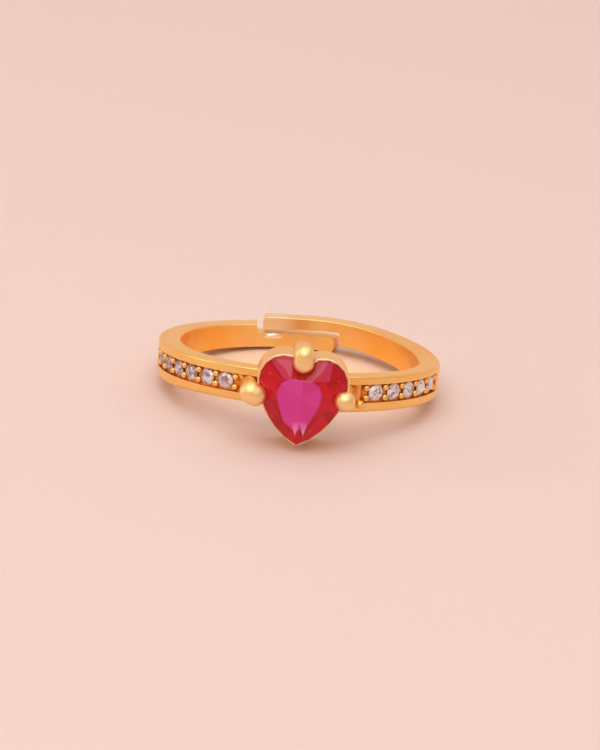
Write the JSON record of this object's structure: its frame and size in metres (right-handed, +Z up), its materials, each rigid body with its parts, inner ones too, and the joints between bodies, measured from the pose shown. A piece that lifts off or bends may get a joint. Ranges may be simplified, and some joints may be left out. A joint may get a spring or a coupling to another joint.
{
  "type": "gold ring with a heart-shaped stone",
  "caption": "Adjustable gold ring with a heart-shaped red stone in a claw collet, channel-set shoulders and a stepped split at the back.",
  "frame": {"origin": "middle of the bounding box, on the surface that the ring lies on", "axes": "+Z up from the surface, -Y towards the heart, +X to the right of someone who looks at the heart; the finger axis leans about 8 degrees from +Z towards +Y"},
  "size_m": [0.0194, 0.0222, 0.0074],
  "materials": {
    "gold": "polished gold plating",
    "red_stone": "polished facets",
    "clear_stone": "polished facets"
  },
  "bodies": {
    "root": {"shank": "gold", "heart_stone": "red_stone", "left_stone_1": "clear_stone", "left_stone_2": "clear_stone", "left_stone_3": "clear_stone", "left_stone_4": "clear_stone", "left_stone_5": "clear_stone", "left_stone_6": "clear_stone", "right_stone_1": "clear_stone", "right_stone_2": "clear_stone", "right_stone_3": "clear_stone", "right_stone_4": "clear_stone", "right_stone_5": "clear_stone"}
  },
  "joints": []
}
